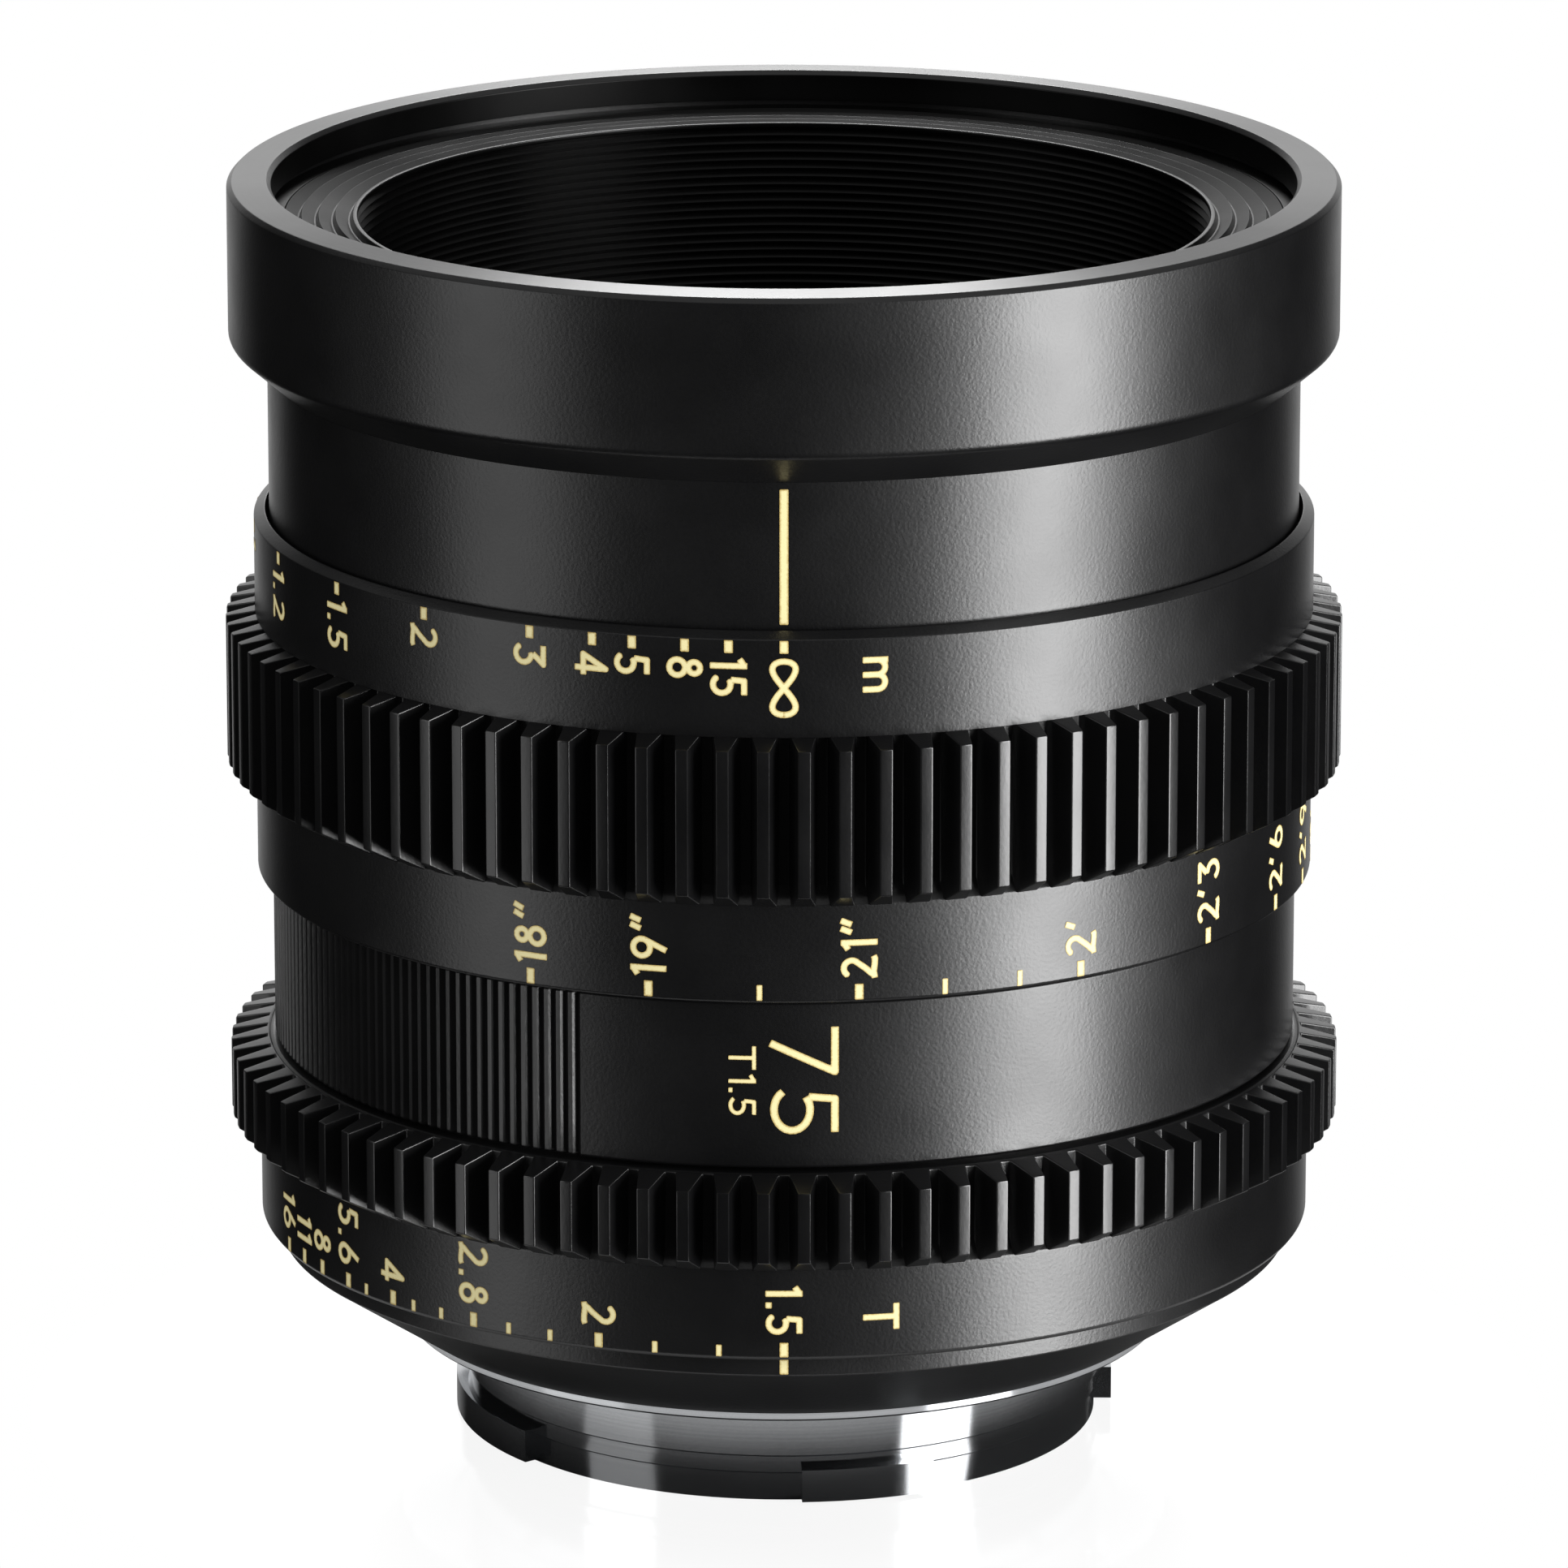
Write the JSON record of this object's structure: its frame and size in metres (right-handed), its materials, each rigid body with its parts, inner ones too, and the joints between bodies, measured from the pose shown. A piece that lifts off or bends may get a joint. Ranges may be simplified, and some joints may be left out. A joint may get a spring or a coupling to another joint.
{
  "type": "cinema prime lens",
  "caption": "Cinema prime lens with geared focus and iris rings, a sliding front barrel, a bladed iris and a chromed claw bayonet.",
  "frame": {"origin": "centre of the mount flange seat on the optical axis", "axes": "+Z along the optical axis towards the front, -Y towards the index line and scales, +X to the right seen from the scales"},
  "size_m": [0.0728, 0.0728, 0.0833],
  "materials": {
    "black_anodised": "satin bead-blasted black anodising",
    "matte_black": "matte black anodising",
    "cell_black": "black anodising",
    "optical_glass": "polished and coated",
    "brass": "turned",
    "steel": "turned",
    "blade_steel": "blackened spring steel",
    "slip_washer": "moulded slip material",
    "chrome": "polished hard chrome on brass"
  },
  "bodies": {
    "barrel": {"main_barrel": "cell_black", "guide_barrel": "cell_black", "focus_retaining_ring": "matte_black", "thrust_washer": "slip_washer", "mid_sleeve": "black_anodised", "index_ring": "black_anodised", "rear_housing": "black_anodised", "bayonet_mount": "chrome", "mount_screws": "steel", "rear_baffle": "matte_black"},
    "focus_ring": {"focus_ring": "black_anodised", "cam_sleeve": "brass", "focus_drive_screws": "steel"},
    "front_unit": {"front_ring": "black_anodised", "front_baffle": "matte_black", "front_barrel": "black_anodised", "front_cell": "cell_black", "element_1_ring": "matte_black", "element_1": "optical_glass", "element_2_ring": "matte_black", "element_2": "optical_glass", "element_3_ring": "matte_black", "element_3_crown": "optical_glass", "element_3_flint": "optical_glass", "cam_rollers": "brass", "roller_screws": "steel", "rear_cell": "cell_black", "element_4_ring": "matte_black", "element_4_flint": "optical_glass", "element_4_crown": "optical_glass", "element_5": "optical_glass", "element_5_ring": "matte_black"},
    "iris_ring": {"iris_ring": "black_anodised", "iris_coupling_ring": "brass", "iris_drive_pin": "steel"},
    "iris_actuator": {"iris_actuator": "brass"},
    "iris_blade_1": {"iris_blade_1": "blade_steel"},
    "iris_blade_2": {"iris_blade_2": "blade_steel"},
    "iris_blade_3": {"iris_blade_3": "blade_steel"},
    "iris_blade_4": {"iris_blade_4": "blade_steel"},
    "iris_blade_5": {"iris_blade_5": "blade_steel"},
    "iris_blade_6": {"iris_blade_6": "blade_steel"},
    "iris_blade_7": {"iris_blade_7": "blade_steel"},
    "iris_blade_8": {"iris_blade_8": "blade_steel"},
    "iris_blade_9": {"iris_blade_9": "blade_steel"},
    "iris_blade_10": {"iris_blade_10": "blade_steel"}
  },
  "joints": [
    {"name": "focus_turn", "type": "hinge", "parent": "barrel", "child": "focus_ring", "pos_m": [0, 0, 0.0426], "axis": [0, 0, 1], "range_deg": [0, 208]},
    {"name": "front_slide", "type": "slide", "parent": "barrel", "child": "front_unit", "axis": [0, 0, 1], "range_m": [0, 0.014]},
    {"name": "iris_turn", "type": "hinge", "parent": "barrel", "child": "iris_ring", "pos_m": [0, 0, 0.0132], "axis": [0, 0, 1], "range_deg": [0, 68]},
    {"name": "actuator_turn", "type": "hinge", "parent": "front_unit", "child": "iris_actuator", "pos_m": [0, 0, 0.0205], "axis": [0, 0, 1], "range_deg": [0, 68]},
    {"name": "blade_1_turn", "type": "hinge", "parent": "front_unit", "child": "iris_blade_1", "pos_m": [0.02023, 0.01469, 0.0225], "axis": [0, 0, 1], "range_deg": [0, 28.53]},
    {"name": "blade_2_turn", "type": "hinge", "parent": "front_unit", "child": "iris_blade_2", "pos_m": [0.00773, 0.02378, 0.0225], "axis": [0, 0, 1], "range_deg": [0, 28.53]},
    {"name": "blade_3_turn", "type": "hinge", "parent": "front_unit", "child": "iris_blade_3", "pos_m": [-0.00773, 0.02378, 0.0225], "axis": [0, 0, 1], "range_deg": [0, 28.53]},
    {"name": "blade_4_turn", "type": "hinge", "parent": "front_unit", "child": "iris_blade_4", "pos_m": [-0.02023, 0.01469, 0.0225], "axis": [0, 0, 1], "range_deg": [0, 28.53]},
    {"name": "blade_5_turn", "type": "hinge", "parent": "front_unit", "child": "iris_blade_5", "pos_m": [-0.025, 0, 0.0225], "axis": [0, 0, 1], "range_deg": [0, 28.53]},
    {"name": "blade_6_turn", "type": "hinge", "parent": "front_unit", "child": "iris_blade_6", "pos_m": [-0.02023, -0.01469, 0.0225], "axis": [0, 0, 1], "range_deg": [0, 28.53]},
    {"name": "blade_7_turn", "type": "hinge", "parent": "front_unit", "child": "iris_blade_7", "pos_m": [-0.00773, -0.02378, 0.0225], "axis": [0, 0, 1], "range_deg": [0, 28.53]},
    {"name": "blade_8_turn", "type": "hinge", "parent": "front_unit", "child": "iris_blade_8", "pos_m": [0.00773, -0.02378, 0.0225], "axis": [0, 0, 1], "range_deg": [0, 28.53]},
    {"name": "blade_9_turn", "type": "hinge", "parent": "front_unit", "child": "iris_blade_9", "pos_m": [0.02023, -0.01469, 0.0225], "axis": [0, 0, 1], "range_deg": [0, 28.53]},
    {"name": "blade_10_turn", "type": "hinge", "parent": "front_unit", "child": "iris_blade_10", "pos_m": [0.025, 0, 0.0225], "axis": [0, 0, 1], "range_deg": [0, 28.53]}
  ],
  "couplings": [
    {"joint": "front_slide", "follows": "focus_turn", "m_per_rad": 0.0038564},
    {"joint": "actuator_turn", "follows": "iris_turn", "ratio": 1},
    {"joint": "blade_1_turn", "follows": "iris_turn", "ratio": 0.41885},
    {"joint": "blade_2_turn", "follows": "iris_turn", "ratio": 0.41885},
    {"joint": "blade_3_turn", "follows": "iris_turn", "ratio": 0.41885},
    {"joint": "blade_4_turn", "follows": "iris_turn", "ratio": 0.41885},
    {"joint": "blade_5_turn", "follows": "iris_turn", "ratio": 0.41885},
    {"joint": "blade_6_turn", "follows": "iris_turn", "ratio": 0.41885},
    {"joint": "blade_7_turn", "follows": "iris_turn", "ratio": 0.41885},
    {"joint": "blade_8_turn", "follows": "iris_turn", "ratio": 0.41885},
    {"joint": "blade_9_turn", "follows": "iris_turn", "ratio": 0.41885},
    {"joint": "blade_10_turn", "follows": "iris_turn", "ratio": 0.41885}
  ]
}
